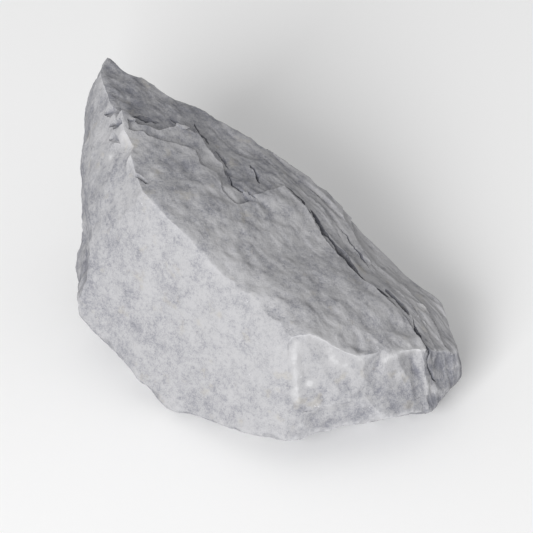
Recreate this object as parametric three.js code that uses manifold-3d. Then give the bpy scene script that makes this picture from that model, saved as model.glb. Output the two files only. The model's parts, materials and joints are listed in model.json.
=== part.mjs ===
// A crushed lump of shungite, the black carbon-rich rock, as one closed solid.
//
// Shungite is hard, brittle and faintly layered. A crusher breaks it into wedges with big, nearly
// flat fracture faces, stepped where the break jumps from one layer to the next, dished where a
// flake shelled off, and chipped along the sharp edges. The lump is made in the same order: a raw
// block is split by breaks, stepped by terraces, dished by flake scars and chipped along its edges.
// No natural break is truly flat, so the cutter of each one is a fine grid, bent and roughened.
//
// Units are millimetres and degrees, +Z is up, and the lump lies on the flat break under it, at
// z = 0. The origin is on that face, about a millimetre from the point straight below the centre
// of mass.

import * as THREE from 'three';
import { ImprovedNoise } from 'three/addons/math/ImprovedNoise.js';
import { mergeVertices } from 'three/addons/utils/BufferGeometryUtils.js';
import Module from 'manifold-3d';

const { clamp, degToRad, lerp, smoothstep } = THREE.MathUtils;

// ---------------------------------------------------------------- driving dimensions

// The point inside the lump that every break is measured from.
const HEART = new THREE.Vector3( 3.4, - 3.5, 10.5 );

// The raw block, and the middle of its underside.
const BLOCK = { width: 48, depth: 46, height: 30 };
const BLOCK_MIDDLE = { x: 3, y: 2 };

// The breaks: the compass direction and the slope of each face's normal, and the face's distance
// from the heart. The layers of the rock lie parallel to the front face.
const BREAKS = {
	top: { azimuth: - 15, elevation: 67, distance: 6.2 },
	front: { azimuth: - 125, elevation: 14, distance: 8.0 },
	nose: { azimuth: - 81, elevation: 15, distance: 10.9 },
	noseRight: { azimuth: - 58, elevation: 20, distance: 12.7 },
	shoulder: { azimuth: - 165, elevation: 30, distance: 16.8 },
	back: { azimuth: 73, elevation: - 6, distance: 15.1 },
	backRight: { azimuth: 54, elevation: - 11, distance: 12.7 },
	rightEnd: { azimuth: 22, elevation: - 4, distance: 17.0 },
	toe: { azimuth: - 38, elevation: 15, distance: 15.5 },
	tipLeft: { azimuth: 158, elevation: 24, distance: 27.0 },
	leftEnd: { azimuth: 180, elevation: 7, distance: 19.8 },
	leftLow: { azimuth: - 168, elevation: - 22, distance: 18.6 },
	underLeft: { azimuth: - 150, elevation: - 36, distance: 15.0 },
	underFront: { azimuth: - 108, elevation: - 50, distance: 12.6 },
	underNose: { azimuth: - 72, elevation: - 46, distance: 13.9 },
	underToe: { azimuth: - 28, elevation: - 27, distance: 19.3 },
	underBack: { azimuth: 120, elevation: - 38, distance: 18.6 },
	underRight: { azimuth: 30, elevation: - 48, distance: 15.6 },
};

// Terraces: where a face steps down to a lower floor. The floor is a break of its own, and the
// outline is drawn on it from the foot of the heart's perpendicular, x downhill and y level.
const TERRACES = {
	tip: {
		azimuth: 8, elevation: 68, distance: 7.2,
		outline: [ [ - 26, 15.3 ], [ - 17, 14.7 ], [ - 15.8, 13.8 ], [ - 13.5, 13.7 ], [ - 11.3, 15 ],
			[ - 9, 14.4 ], [ - 8.1, 12.8 ], [ - 6.5, 11.1 ], [ - 6.2, 8.3 ], [ - 4, 7 ], [ - 0.1, 9.5 ],
			[ 1.2, 11.6 ], [ 6, 20 ], [ - 4, 34 ], [ - 26, 34 ] ],
	},
	strip: {
		azimuth: 4.5, elevation: 61.6, distance: 6.6,
		outline: [ [ - 14, 17 ], [ - 8.5, 12.5 ], [ - 3.2, 10.2 ], [ - 1.5, 9.6 ], [ 0.8, 7.5 ], [ 1.9, 5.9 ],
			[ 4.5, 2 ], [ 8.3, - 1.6 ], [ 11.7, - 3.9 ], [ 13.6, - 7.1 ], [ 14.4, - 9.7 ], [ 24, - 12 ],
			[ 24, 26 ], [ - 14, 26 ] ],
	},
	backLayer: {
		azimuth: 57, elevation: - 13, distance: 11.6,
		outline: [ [ - 1, - 24 ], [ 0.5, - 10 ], [ - 1.2, - 6 ], [ 1.4, - 3 ], [ 0.8, 0.5 ], [ 4, 2 ], [ 5, 5.5 ],
			[ 16, 7 ], [ 16, - 24 ] ],
	},
	backFlake: {
		azimuth: 70, elevation: - 9, distance: 13.9,
		outline: [ [ - 20, 4 ], [ - 9, 5 ], [ - 7.6, 8 ], [ - 4, 9 ], [ - 3.5, 12.4 ], [ 0.5, 14 ], [ 1, 26 ],
			[ - 20, 26 ] ],
	},
};

// Flake scars: shallow shell-shaped dishes of the given width down the slope, length along it and
// depth, on a break at x downhill and y level from the foot of the heart's perpendicular.
const SCARS = [
	{ face: 'leftEnd', x: 1.5, y: - 8, width: 12, length: 21, depth: 1.1 },
	{ face: 'back', x: 5, y: 5, width: 11, length: 19, depth: 0.9 },
	{ face: 'backRight', x: - 6, y: - 8, width: 7, length: 13, depth: 0.6 },
	{ face: 'underBack', x: 1, y: 2, width: 9, length: 16, depth: 0.8 },
	{ face: 'underNose', x: - 1, y: 3, width: 6, length: 11, depth: 0.6 },
	{ face: 'shoulder', x: - 5, y: - 9, width: 11, length: 6, depth: 0.5 },
	{ face: 'nose', x: - 5, y: 5, width: 5, length: 9, depth: 0.5 },
];

// Blunt edges, where the break rolled over from one face into the next. Both faces sink towards the
// edge over the given width, by a quarter of it at the edge itself. The ridge is bluntest round one
// place, and within reach of that place its width goes over from the one value to the other.
const BLUNT_EDGES = [
	{ between: [ 'front', 'shoulder' ], width: 2.6 },
	{ between: [ 'front', 'nose' ], width: 1.8 },
	{ between: [ 'nose', 'noseRight' ], width: 1.2 },
	{ between: [ 'noseRight', 'toe' ], width: 1 },
	{ between: [ 'shoulder', 'leftEnd' ], width: 1.6 },
	{
		between: [ 'top', 'front' ], width: 0.8,
		bluntest: { place: new THREE.Vector3( 3, - 11.2, 16.5 ), reach: 10, width: 6 },
	},
	{ between: [ 'back', 'backRight' ], width: 1.5 },
	{ between: [ 'leftEnd', 'leftLow' ], width: 1.5 },
	{ between: [ 'rightEnd', 'toe' ], width: 0.9 },
];

// Chipped edges: the two faces that meet in the edge, the two faces that end it, and how many
// chips it has lost. A chip is cut by a many-sided ball that bites only a little into the edge, which
// leaves a long, shallow nick.
const CHIP_RADIUS = { least: 2.2, most: 5.5 };
const CHIP_BITE = { least: 0.12, most: 0.5 };
const CHIP_ROUNDNESS = 1;
const CHIPPED_EDGES = [
	{ between: [ 'top', 'front' ], from: 'shoulder', to: 'nose', chips: 8 },
	{ between: [ 'top', 'shoulder' ], from: 'front', to: 'tip', chips: 4 },
	{ between: [ 'top', 'nose' ], from: 'front', to: 'noseRight', chips: 4 },
	{ between: [ 'front', 'nose' ], from: 'top', to: 'underNose', chips: 3 },
	{ between: [ 'tip', 'back' ], from: 'tipLeft', to: 'backRight', chips: 8 },
	{ between: [ 'strip', 'backRight' ], from: 'back', to: 'rightEnd', chips: 7 },
	{ between: [ 'front', 'underLeft' ], from: 'leftLow', to: 'underFront', chips: 5 },
	{ between: [ 'front', 'underFront' ], from: 'underLeft', to: 'nose', chips: 5 },
	{ between: [ 'nose', 'underNose' ], from: 'front', to: 'noseRight', chips: 4 },
	{ between: [ 'noseRight', 'toe' ], from: 'strip', to: 'underNose', chips: 2 },
	{ between: [ 'backRight', 'back' ], from: 'strip', to: 'underBack', chips: 4 },
	{ between: [ 'back', 'underBack' ], from: 'leftEnd', to: 'backRight', chips: 4 },
	{ between: [ 'leftEnd', 'back' ], from: 'tipLeft', to: 'underBack', chips: 3 },
];

// How finely the surface of a break and of a scar is divided, and how far the cutter behind a break
// reaches to the side and outward.
const BREAK_PITCH = 1.3;
const SCAR_PITCH = 1.2;
const CUTTER_SIDE = 92;
const CUTTER_REACH = 45;

// Swells bend every face: each is a wave through the rock, running along one direction and pushing
// the rock along another. They fade out towards the resting face, which stays flat.
const STILL_HEIGHT = 3.0;
const SWELLS = [
	{ length: 23, height: 0.36, along: [ 0.8, 0.5, 0.3 ], push: [ - 0.3, 0.4, 0.85 ], start: 0.4 },
	{ length: 15, height: 0.24, along: [ - 0.4, 0.7, 0.6 ], push: [ 0.7, - 0.6, 0.35 ], start: 2.1 },
	{ length: 10, height: 0.14, along: [ 0.6, - 0.7, 0.4 ], push: [ 0.5, 0.3, 0.8 ], start: 4.0 },
];

// The small lumps all over a break: their height and size.
const LUMP_HEIGHT = 0.22;
const LUMP_SIZE = 3.2;

// The layers, which stand out unevenly from the faces that cut across them: their thickness, how
// much they stand out, and how far apart two neighbours are in the noise that sets it.
const LAYER_THICKNESS = 1.9;
const LAYER_HEIGHT = 0.3;
const LAYER_STRIDE = 0.77;

// ---------------------------------------------------------------- meshes and solids

const wasm = await Module();
wasm.setup();

function toSolid( geometry ) {

	const bare = geometry.clone();
	bare.deleteAttribute( 'normal' );
	bare.deleteAttribute( 'uv' );
	const merged = mergeVertices( bare );
	return new wasm.Manifold( new wasm.Mesh( {
		numProp: 3,
		vertProperties: new Float32Array( merged.attributes.position.array ),
		triVerts: new Uint32Array( merged.index.array ),
	} ) );

}

function toGeometry( solid ) {

	const mesh = solid.getMesh();
	const geometry = new THREE.BufferGeometry();
	geometry.setAttribute( 'position', new THREE.BufferAttribute( mesh.vertProperties, 3 ) );
	geometry.setIndex( new THREE.BufferAttribute( mesh.triVerts, 1 ) );
	return geometry;

}

// Moves every vertex of a geometry to where place( point ) puts it.
function reshape( geometry, place ) {

	const position = geometry.attributes.position;
	const point = new THREE.Vector3();
	for ( let i = 0; i < position.count; i ++ ) {

		point.fromBufferAttribute( position, i );
		position.setXYZ( i, ...place( point ) );

	}

	return geometry;

}

// Even random numbers from 0 to 1, the same ones in every run.
const LEHMER_FACTOR = 48271;
const LEHMER_PRIME = 2147483647;
let seed = 20;

function random() {

	seed = seed * LEHMER_FACTOR % LEHMER_PRIME;
	return seed / LEHMER_PRIME;

}

// ---------------------------------------------------------------- planes

const planeNamed = name => BREAKS[ name ] ?? TERRACES[ name ];

function normalOf( { azimuth, elevation } ) {

	const level = Math.cos( degToRad( elevation ) );
	return new THREE.Vector3(
		level * Math.cos( degToRad( azimuth ) ),
		level * Math.sin( degToRad( azimuth ) ),
		Math.sin( degToRad( elevation ) ),
	);

}

// The seat of a cutter on a plane: local +Z is the plane's normal and the local origin is the foot
// of the perpendicular from the heart.
function seat( { azimuth, elevation, distance } ) {

	return new THREE.Matrix4().makeTranslation( HEART )
		.multiply( new THREE.Matrix4().makeRotationZ( degToRad( azimuth ) ) )
		.multiply( new THREE.Matrix4().makeRotationY( degToRad( 90 - elevation ) ) )
		.multiply( new THREE.Matrix4().makeTranslation( 0, 0, distance ) );

}

// The corner where three planes meet.
function corner( ...names ) {

	const planes = names.map( planeNamed );
	const [ a, b, c ] = planes.map( normalOf );
	const equations = new THREE.Matrix3( a.x, a.y, a.z, b.x, b.y, b.z, c.x, c.y, c.z );
	const distances = new THREE.Vector3( ...planes.map( plane => plane.distance ) );
	return distances.applyMatrix3( equations.invert() ).add( HEART );

}

// ---------------------------------------------------------------- the run of a natural break

const noise = new ImprovedNoise();
const bedding = normalOf( BREAKS.front );

function swell( point ) {

	const still = smoothstep( point.z, 0, STILL_HEIGHT );
	const moved = point.clone();
	for ( const wave of SWELLS ) {

		const along = new THREE.Vector3( ...wave.along ).normalize();
		const push = new THREE.Vector3( ...wave.push ).normalize();
		const phase = 2 * Math.PI * along.dot( point ) / wave.length + wave.start;
		moved.addScaledVector( push, still * wave.height * Math.sin( phase ) );

	}

	return moved;

}

// How far a break with this normal stands out at a point: small lumps everywhere, and one height
// for each layer where the face cuts across the layers.
function relief( point, normal ) {

	const across = 1 - normal.dot( bedding ) ** 2;
	const layer = Math.floor( point.dot( bedding ) / LAYER_THICKNESS );
	const lump = noise.noise( ...point.clone().divideScalar( LUMP_SIZE ) );
	const ledge = noise.noise( layer * LAYER_STRIDE, LAYER_STRIDE, LAYER_STRIDE );
	return LUMP_HEIGHT * lump + LAYER_HEIGHT * across * ledge;

}

// How wide a blunt edge is for a point of the surface near it.
function bluntness( { width, bluntest }, point ) {

	if ( ! bluntest ) return width;
	const away = smoothstep( point.distanceTo( bluntest.place ), 0, bluntest.reach );
	return lerp( bluntest.width, width, away );

}

// How far the named face has sunk at a point towards its blunt edges.
function sunk( name, point ) {

	let depth = 0;
	for ( const edge of BLUNT_EDGES ) {

		if ( ! edge.between.includes( name ) ) continue;
		const neighbour = BREAKS[ edge.between.find( other => other !== name ) ];
		const gap = neighbour.distance - normalOf( neighbour ).dot( point.clone().sub( HEART ) );
		const width = bluntness( edge, point );
		depth = Math.max( depth, width / 4 * clamp( 1 - gap / width, 0, 1 ) ** 2 );

	}

	return depth;

}

// Where a point of a flat cutter on the named plane goes, so that the cut is a natural break.
function natural( name ) {

	const normal = normalOf( planeNamed( name ) );
	return point => swell( point ).addScaledVector( normal, relief( point, normal ) - sunk( name, point ) );

}

// ---------------------------------------------------------------- what the crusher took off

function rawBlock() {

	const block = new THREE.BoxGeometry( BLOCK.width, BLOCK.depth, BLOCK.height );
	block.translate( BLOCK_MIDDLE.x, BLOCK_MIDDLE.y, BLOCK.height / 2 );
	return toSolid( block );

}

// The rock outside a break: a box whose inner side is a grid that follows the natural break.
function waste( name ) {

	const cells = Math.round( CUTTER_SIDE / BREAK_PITCH );
	const box = new THREE.BoxGeometry( CUTTER_SIDE, CUTTER_SIDE, CUTTER_REACH, cells, cells, 1 );
	box.translate( 0, 0, CUTTER_REACH / 2 );
	box.applyMatrix4( seat( planeNamed( name ) ) );
	return toSolid( reshape( box, natural( name ) ) );

}

// The rock above a terrace: what lies outside its floor, within its outline.
function step( name ) {

	const terrace = TERRACES[ name ];
	const outline = new THREE.Shape( terrace.outline.map( ( [ x, y ] ) => new THREE.Vector2( x, y ) ) );
	const prism = new THREE.ExtrudeGeometry( outline, { depth: CUTTER_REACH, bevelEnabled: false } );
	prism.translate( 0, 0, - CUTTER_REACH / 2 );
	prism.applyMatrix4( seat( terrace ) );
	return waste( name ).intersect( toSolid( prism ) );

}

// A shallow dish is the cap of a large ball, drawn out along the face and as rough as the break.
function flake( { face, x, y, width, length, depth } ) {

	const radius = ( ( width / 2 ) ** 2 + depth ** 2 ) / ( 2 * depth );
	const ball = new THREE.IcosahedronGeometry( radius, Math.round( radius / SCAR_PITCH ) );
	ball.scale( 1, length / width, 1 );
	ball.translate( x, y, radius - depth );
	ball.applyMatrix4( seat( BREAKS[ face ] ) );
	return toSolid( reshape( ball, natural( face ) ) );

}

function chips( edge ) {

	const start = corner( ...edge.between, edge.from );
	const end = corner( ...edge.between, edge.to );
	const outward = new THREE.Vector3();
	for ( const name of edge.between ) outward.add( normalOf( planeNamed( name ) ) );
	outward.normalize();
	const bites = [];
	for ( let i = 0; i < edge.chips; i ++ ) {

		const radius = lerp( CHIP_RADIUS.least, CHIP_RADIUS.most, random() );
		const bite = lerp( CHIP_BITE.least, CHIP_BITE.most, random() );
		const place = swell( start.clone().lerp( end, ( i + random() ) / edge.chips ) );
		const ball = new THREE.IcosahedronGeometry( radius, CHIP_ROUNDNESS );
		ball.rotateX( random() * Math.PI );
		ball.rotateZ( random() * Math.PI );
		ball.translate( ...place.addScaledVector( outward, radius - bite ) );
		bites.push( toSolid( ball ) );

	}

	return bites;

}

// ---------------------------------------------------------------- the stone

const takenOff = [
	...Object.keys( BREAKS ).map( waste ),
	...Object.keys( TERRACES ).map( step ),
	...SCARS.map( flake ),
	...CHIPPED_EDGES.flatMap( chips ),
];
const lump = takenOff.reduce( ( left, piece ) => left.subtract( piece ), rawBlock() );

const shape = toGeometry( lump );
shape.computeVertexNormals();
const shungite = new THREE.MeshStandardMaterial( { color: 0x9a9aa0, roughness: 0.85, metalness: 0 } );
const stone = new THREE.Mesh( shape, shungite );
stone.name = 'shungite_stone';

const group = new THREE.Group();
group.add( stone );

export default group;
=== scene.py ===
# %% [markdown]
# # A lump of crushed shungite
# Shungite is a black, carbon-rich rock: hard, brittle and faintly layered. A stone breaker leaves
# wedges of it with big, nearly flat faces, all covered in their own pale dust. This lesson makes one
# such lump in the order in which the breaker made it: a raw block is split, its faces are roughened,
# stepped and flaked, and its sharp edges are chipped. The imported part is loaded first, because it
# fixes the size and the place of everything.

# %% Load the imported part
import json
import math
from collections import namedtuple

import bpy
import numpy as np
from mathutils import Matrix, Vector, noise

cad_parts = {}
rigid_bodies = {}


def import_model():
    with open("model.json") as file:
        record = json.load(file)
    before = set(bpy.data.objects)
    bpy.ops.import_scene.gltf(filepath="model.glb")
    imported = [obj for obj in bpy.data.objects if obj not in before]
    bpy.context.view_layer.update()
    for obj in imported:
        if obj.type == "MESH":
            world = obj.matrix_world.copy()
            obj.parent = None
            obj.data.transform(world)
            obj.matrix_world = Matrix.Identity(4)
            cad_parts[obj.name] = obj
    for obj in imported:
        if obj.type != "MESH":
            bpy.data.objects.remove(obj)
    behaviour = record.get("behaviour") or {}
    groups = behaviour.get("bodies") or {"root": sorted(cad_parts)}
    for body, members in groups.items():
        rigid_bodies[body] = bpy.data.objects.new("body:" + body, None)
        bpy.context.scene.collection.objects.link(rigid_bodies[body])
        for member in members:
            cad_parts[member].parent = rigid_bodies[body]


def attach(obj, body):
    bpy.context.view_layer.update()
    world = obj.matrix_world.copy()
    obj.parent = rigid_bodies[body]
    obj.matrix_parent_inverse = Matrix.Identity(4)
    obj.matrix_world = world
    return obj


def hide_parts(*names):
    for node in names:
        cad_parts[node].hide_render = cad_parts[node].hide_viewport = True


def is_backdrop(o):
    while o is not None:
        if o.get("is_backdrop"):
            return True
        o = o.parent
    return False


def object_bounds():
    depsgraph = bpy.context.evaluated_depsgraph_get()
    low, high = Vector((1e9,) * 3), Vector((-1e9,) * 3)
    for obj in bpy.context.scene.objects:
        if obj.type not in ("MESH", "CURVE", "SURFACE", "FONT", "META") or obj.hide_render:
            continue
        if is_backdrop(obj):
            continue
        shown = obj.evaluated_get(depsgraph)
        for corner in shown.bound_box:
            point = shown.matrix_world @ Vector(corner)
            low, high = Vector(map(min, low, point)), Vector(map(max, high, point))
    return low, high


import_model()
cad_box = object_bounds()
mm = 0.001


def in_mm(box):
    return [[round(value / mm, 2) for value in end] for end in box]


print("the packed lump lies between", *in_mm(cad_box), "mm")

# %% [markdown]
# ## The breaks
# Every face of the lump is a break, and a break is told by three numbers: the compass direction of
# its normal, the slope of that normal and the distance from a point inside, the heart. They are the
# same ones as in the part's source, so the lump comes out in the same place. The front face runs
# along the layers of the rock, so its normal is also the bedding direction, which the layers need.

# %% The faces of the lump
HEART = Vector((3.4, -3.5, 10.5)) * mm
BREAKS = {
    # name: azimuth, elevation, distance
    "top": (-15, 67, 6.2),
    "front": (-125, 14, 8.0),
    "nose": (-81, 15, 10.9),
    "nose_right": (-58, 20, 12.7),
    "shoulder": (-165, 30, 16.8),
    "back": (73, -6, 15.1),
    "back_right": (54, -11, 12.7),
    "right_end": (22, -4, 17.0),
    "toe": (-38, 15, 15.5),
    "tip_left": (158, 24, 27.0),
    "left_end": (180, 7, 19.8),
    "left_low": (-168, -22, 18.6),
    "under_left": (-150, -36, 15.0),
    "under_front": (-108, -50, 12.6),
    "under_nose": (-72, -46, 13.9),
    "under_toe": (-28, -27, 19.3),
    "under_back": (120, -38, 18.6),
    "under_right": (30, -48, 15.6),
}


def normal_of(plane):
    azimuth, elevation = (math.radians(angle) for angle in plane[:2])
    level = math.cos(elevation)
    return Vector((level * math.cos(azimuth), level * math.sin(azimuth), math.sin(elevation)))


BEDDING = normal_of(BREAKS["front"])
print(len(BREAKS), "breaks; the bedding looks along", [round(part, 2) for part in BEDDING])

# %% [markdown]
# ## Splitting the block
# By hand, one would add a cube and slice it with the bisect tool, once for each break, and that is
# what happens here. The slices are made a little outside the real faces, because the rough surface
# of each face comes later and needs some rock left to bite into.

# %% Split the raw block
BLOCK_SIZE = Vector((48, 46, 30)) * mm
BLOCK_CENTRE = Vector((3, 2, 15)) * mm
SPARE = 1.5 * mm
SLICED_WITHIN = 1e-7


def deselect_all():
    if bpy.context.object and bpy.context.object.mode != "OBJECT":
        bpy.ops.object.mode_set(mode="OBJECT")
    bpy.ops.object.select_all(action="DESELECT")


deselect_all()
bpy.ops.mesh.primitive_cube_add(size=1, location=BLOCK_CENTRE, scale=BLOCK_SIZE)
lump = bpy.context.object
bpy.ops.object.transform_apply(location=True, rotation=True, scale=True)
bpy.ops.object.mode_set(mode="EDIT")
for plane in BREAKS.values():
    normal = normal_of(plane)
    bpy.ops.mesh.select_all(action="SELECT")
    bpy.ops.mesh.bisect(
        plane_co=HEART + normal * (plane[2] * mm + SPARE), plane_no=normal,
        use_fill=True, clear_outer=True, threshold=SLICED_WITHIN,
    )
bpy.ops.object.mode_set(mode="OBJECT")
print("the split block has", len(lump.data.polygons), "faces")

# %% [markdown]
# ## The swells
# No break is truly flat. Long swells run through the whole lump, so they are worked out for any point
# in space, and neighbouring faces agree where they meet. They fade out near the ground, where the
# lump has to rest flat.

# %% The swells
STILL_HEIGHT = 3.0 * mm
SWELLS = [
    # wave length, height, along, push, start
    (23, 0.36, (0.8, 0.5, 0.3), (-0.3, 0.4, 0.85), 0.4),
    (15, 0.24, (-0.4, 0.7, 0.6), (0.7, -0.6, 0.35), 2.1),
    (10, 0.14, (0.6, -0.7, 0.4), (0.5, 0.3, 0.8), 4.0),
]


def eased(share):
    """A share from 0 to 1 that starts and ends gently."""
    share = np.clip(share, 0, 1)
    return share * share * (3 - 2 * share)


def swell(points):
    still = eased(points[:, 2] / STILL_HEIGHT)
    moved = points.copy()
    for length, height, along, push, start in SWELLS:
        along, push = (np.array(Vector(way).normalized()) for way in (along, push))
        wave = np.sin(2 * math.pi * (points @ along) / (length * mm) + start)
        moved += (still * height * mm * wave)[:, None] * push
    return moved


print("the swells move a face by up to", round(sum(row[1] for row in SWELLS), 2), "mm")

# %% [markdown]
# ## What makes a face natural
# Small lumps and hackles cover each face, and a rough one has scoops and pits in patches. Where a face
# cuts across the layers, they stand out as ledges and thin laminae that fade in and out along their
# run. Each face gets its own share of all this, and its own dust: the front, which split along a
# layer, is the smoothest. Blender's noise would start from another place in each run, so it gets a
# seed.

# %% Lumps, hackles, scoops, pits and layers
NOISE_SEED = 7
noise.seed_set(NOISE_SEED)
LUMP_SIZE, LUMP_HEIGHT = 3.4 * mm, 0.19 * mm
HACKLE_SIZE, HACKLE_HEIGHT = 1.3 * mm, 0.10 * mm
# for a fractal noise: how fast the finer waves weaken and shorten, and how many there are
LUMP_WAVES, HACKLE_WAVES = (1.0, 2.1, 2), (0.6, 2.2, 3)
SCOOP_SIZE, SCOOP_HEIGHT, SCOOP_BEND, SCOOP_MIDDLE = 2.3 * mm, 0.16 * mm, 0.4, 0.5
PIT_SIZE, PIT_DEPTH, PIT_SHARE = 1.5 * mm, 0.55 * mm, 0.26
PIT_START = Vector((7, 3, 5))
PATCH_SIZE, PATCH_BASE, PATCH_SWING = 7 * mm, 0.8, 1.6
LEDGE_THICKNESS, LEDGE_RUN, LEDGE_HEIGHT = 1.9 * mm, 5.5 * mm, 0.30 * mm
LAMINA_THICKNESS, LAMINA_RUN, LAMINA_HEIGHT = 0.55 * mm, 3.0 * mm, 0.12 * mm
LAYER_WANDER_SIZE, LAYER_WANDER, LAYER_STRIDE = 4 * mm, 0.8 * mm, 0.77
LAYERS_SHOW_FROM = 0.1


def layer_steps(spot, level):
    """How far the ledge and the lamina stand out at a spot on this level of the bedding."""
    along = spot - BEDDING * level
    level += LAYER_WANDER * noise.noise(spot / LAYER_WANDER_SIZE)
    ledge = BEDDING * math.floor(level / LEDGE_THICKNESS) * LAYER_STRIDE
    lamina = BEDDING * math.floor(level / LAMINA_THICKNESS) * LAYER_STRIDE
    return (
        LEDGE_HEIGHT * noise.noise(along / LEDGE_RUN + ledge)
        + LAMINA_HEIGHT * noise.noise(along / LAMINA_RUN + lamina)
    )


def relief(points, normal, finish):
    """How far a break with this normal stands out at each point."""
    across = 1 - normal.dot(BEDDING) ** 2
    heights = np.empty(len(points))
    for i, point in enumerate(points):
        spot = Vector(point)
        level = spot.dot(BEDDING)
        drawn = spot + BEDDING * level * (finish.thinness - 1)
        height = LUMP_HEIGHT * finish.lumps * noise.fractal(spot / LUMP_SIZE, *LUMP_WAVES)
        height += HACKLE_HEIGHT * finish.hackles * noise.fractal(drawn / HACKLE_SIZE, *HACKLE_WAVES)
        rough = max(0, PATCH_BASE + PATCH_SWING * noise.noise(spot / PATCH_SIZE))
        if finish.scoops:
            bent = drawn / SCOOP_SIZE + noise.noise_vector(spot / SCOOP_SIZE) * SCOOP_BEND
            scoop = noise.noise(bent, noise_basis="VORONOI_F1") - SCOOP_MIDDLE
            height += SCOOP_HEIGHT * finish.scoops * rough * scoop
        pit = noise.noise(drawn / PIT_SIZE + PIT_START) - PIT_SHARE
        if pit > 0:
            height -= PIT_DEPTH * finish.pits * pit * rough
        if across * finish.layers > LAYERS_SHOW_FROM:
            height += across * finish.layers * layer_steps(spot, level)
        heights[i] = height
    return heights


print("the pattern of the relief starts from seed", NOISE_SEED)

# %% The finish of each face
# how strongly a face shows its lumps, hackles, scoops, layers and pits, how thin the layers draw its
# hackles out, and then its dust, its streaks and how pale its edges are rubbed, which also paints a
# highlight on them
Finish = namedtuple("Finish", "lumps hackles scoops layers pits thinness dust streaks rubbing")
PLAIN = Finish(1.0, 0.9, 0.6, 0.8, 0.7, 1.6, 0.80, 0.5, 0.4)
FINISHES = {
    "front": Finish(0.75, 0.36, 0.0, 0.0, 0.10, 1.0, 0.97, 0.0, 0.30),
    "nose": Finish(0.9, 0.7, 0.35, 0.25, 0.35, 1.2, 1.06, 0.1, 1.0),
    "nose_right": Finish(0.9, 0.6, 0.3, 0.25, 0.3, 1.2, 0.90, 0.15, 0.9),
    "shoulder": Finish(0.9, 0.7, 0.3, 0.25, 0.35, 1.2, 1.10, 0.1, 0.5),
    "top": Finish(1.5, 0.80, 0.9, 0.30, 0.6, 1.20, 0.95, 0.20, 0.15),
    "tip": Finish(1.3, 0.95, 0.8, 0.5, 0.7, 1.4, 0.77, 0.35, 0.1),
    "strip": Finish(0.4, 0.45, 0.0, 1.5, 0.2, 3.0, 1.02, 1.4, 0.40),
    "toe": Finish(0.7, 0.7, 0.2, 1.0, 0.4, 2.4, 0.60, 0.8, 0.6),
    "right_end": Finish(0.8, 0.8, 0.3, 1.0, 0.5, 2.2, 0.62, 0.8, 0.5),
    "back": Finish(1.0, 0.9, 0.9, 1.1, 0.7, 1.8, 0.72, 0.6, 0.4),
    "back_right": Finish(1.0, 0.8, 0.4, 1.1, 0.5, 2.2, 0.72, 0.8, 0.4),
    "chip": Finish(0, 0, 0, 0, 0, 0, 0.92, 0.1, 0.35),
    "crack": Finish(0, 0, 0, 0, 0, 0, 0.3, 0.3, 0),
    "notch": Finish(0, 0, 0, 0, 0, 0, 0.84, 0.3, 0.2),
    "cliff": Finish(0, 0, 0, 0, 0, 0, 0.48, 0.8, 0.2),
}
FINISHES["ledge"] = FINISHES["top"]
FINISHES["strip_layer"] = FINISHES["strip"]._replace(dust=1.34, rubbing=0.45)
FINISHES["strip_edge"] = FINISHES["strip_layer"]
print(len(FINISHES), "kinds of finish, and the plain one")

# %% [markdown]
# ## Worn edges
# Two flat faces would meet in a line like a ruler's. On the real lump every edge is a little worn, and
# a few are quite blunt, where the break rolled over from one face into the next. So each face sinks
# towards its neighbours: a point on it goes in by a quarter of the width of the worn part at the very
# edge, and by less and less further away.

# %% Wear
WORN_WIDTH = 0.45 * mm
SUNK_SHARE = 0.25
BLUNT_EDGES = {
    ("front", "shoulder"): 2.6, ("front", "nose"): 1.8, ("nose", "nose_right"): 1.2,
    ("nose_right", "toe"): 1.0, ("shoulder", "left_end"): 1.6, ("top", "front"): 0.8,
    ("back", "back_right"): 1.5, ("left_end", "left_low"): 1.5, ("right_end", "toe"): 0.9,
}
# the ridge between the top and the front is blunt round one place and sharper further off
RIDGE = {"top", "front"}
BLUNTEST_PLACE = np.array(Vector((3, -11.2, 16.5)) * mm)
BLUNT_REACH, BLUNTEST_WIDTH = 10 * mm, 6 * mm
# a terrace isn't worn by the face that it steps down from
STEPS_DOWN_FROM = {
    "tip": "top", "strip": "top", "ledge": "top", "strip_layer": "top", "strip_edge": "top",
    "back_layer": "back_right", "back_flake": "back",
}


def wear(points, own):
    """How far the face named own has sunk at each point towards its worn edges."""
    sunk = np.zeros(len(points))
    for other, plane in BREAKS.items():
        if other in (own, STEPS_DOWN_FROM.get(own)):
            continue
        width = max(BLUNT_EDGES.get((own, other), 0), BLUNT_EDGES.get((other, own), 0)) * mm
        width = width or WORN_WIDTH
        if {own, other} == RIDGE:
            away = eased(np.linalg.norm(points - BLUNTEST_PLACE, axis=1) / BLUNT_REACH)
            width = BLUNTEST_WIDTH + (width - BLUNTEST_WIDTH) * away
        gap = plane[2] * mm - (points - np.array(HEART)) @ np.array(normal_of(plane))
        sunk = np.maximum(sunk, width * SUNK_SHARE * np.clip(1 - gap / width, 0, 1) ** 2)
    return sunk


print(len(BLUNT_EDGES), "edges are blunt; the others are worn over", round(WORN_WIDTH / mm, 2), "mm")

# %% [markdown]
# ## The cutter
# Each face is cut by a slab of waste rock that is taken away with a boolean. Its outer side is plain,
# and its inner side is a grid, finely divided and then bent to the natural break. Cutting with rough
# slabs, in place of roughening the finished lump, leaves the edges between two faces as sharp and as
# ragged as those of real broken stone. Each slab carries a material named after its face, and the
# boolean hands it on to the surface that the slab cuts, so the lump remembers what cut it where.

# %% Work with points and places
def seat(plane):
    """The matrix that lays something on a face: x downhill, y level and z outwards."""
    azimuth, elevation, distance = plane[:3]
    return (
        Matrix.Translation(HEART)
        @ Matrix.Rotation(math.radians(azimuth), 4, "Z")
        @ Matrix.Rotation(math.radians(90 - elevation), 4, "Y")
        @ Matrix.Translation((0, 0, distance * mm))
    )


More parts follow.
